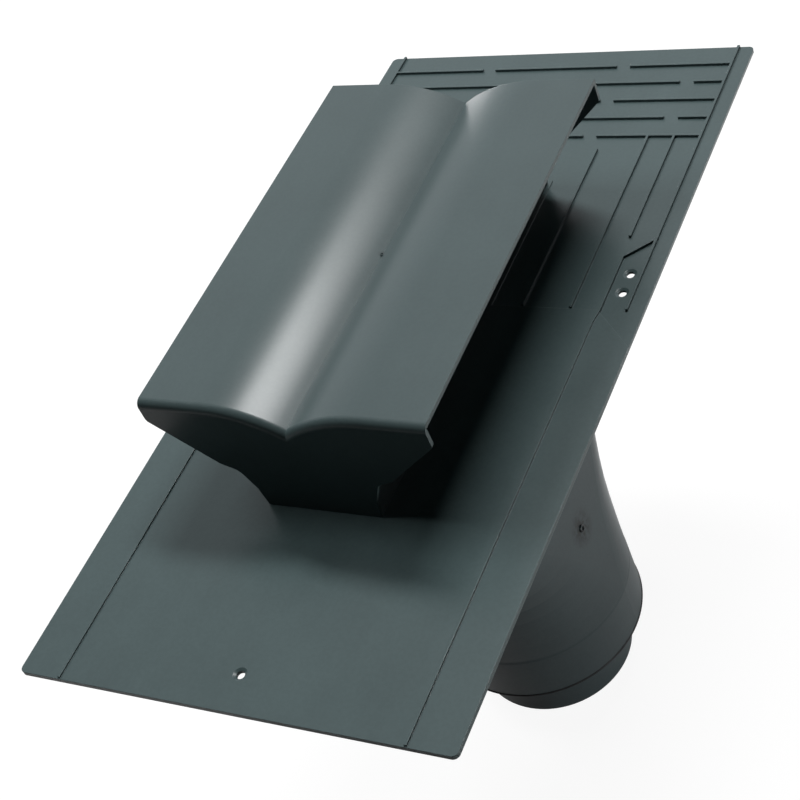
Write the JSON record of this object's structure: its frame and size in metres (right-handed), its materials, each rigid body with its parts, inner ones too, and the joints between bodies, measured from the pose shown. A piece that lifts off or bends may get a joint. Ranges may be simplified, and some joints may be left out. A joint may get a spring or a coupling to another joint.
{
  "type": "roof vent",
  "caption": "Plastic roof vent: a flashing plate with weather ribs, a gull-wing hood with side outlets and a hopper below that narrows to a pipe spigot.",
  "frame": {"origin": "where the duct's axis meets the plane of the plate's underside", "axes": "+Z square to the plate, out of the roof; +Y up the slope to the plate's head edge; +X to the right"},
  "size_m": [0.3, 0.6, 0.4462],
  "materials": {
    "plastic": "satin, slightly greenish dark grey",
    "rubber": "matt black"
  },
  "bodies": {
    "root": {"base_plate": "plastic", "hood": "plastic", "grille_left": "plastic", "grille_right": "plastic", "hopper": "plastic", "spigot_seal": "rubber", "pipe_spigot": "plastic"}
  },
  "joints": []
}
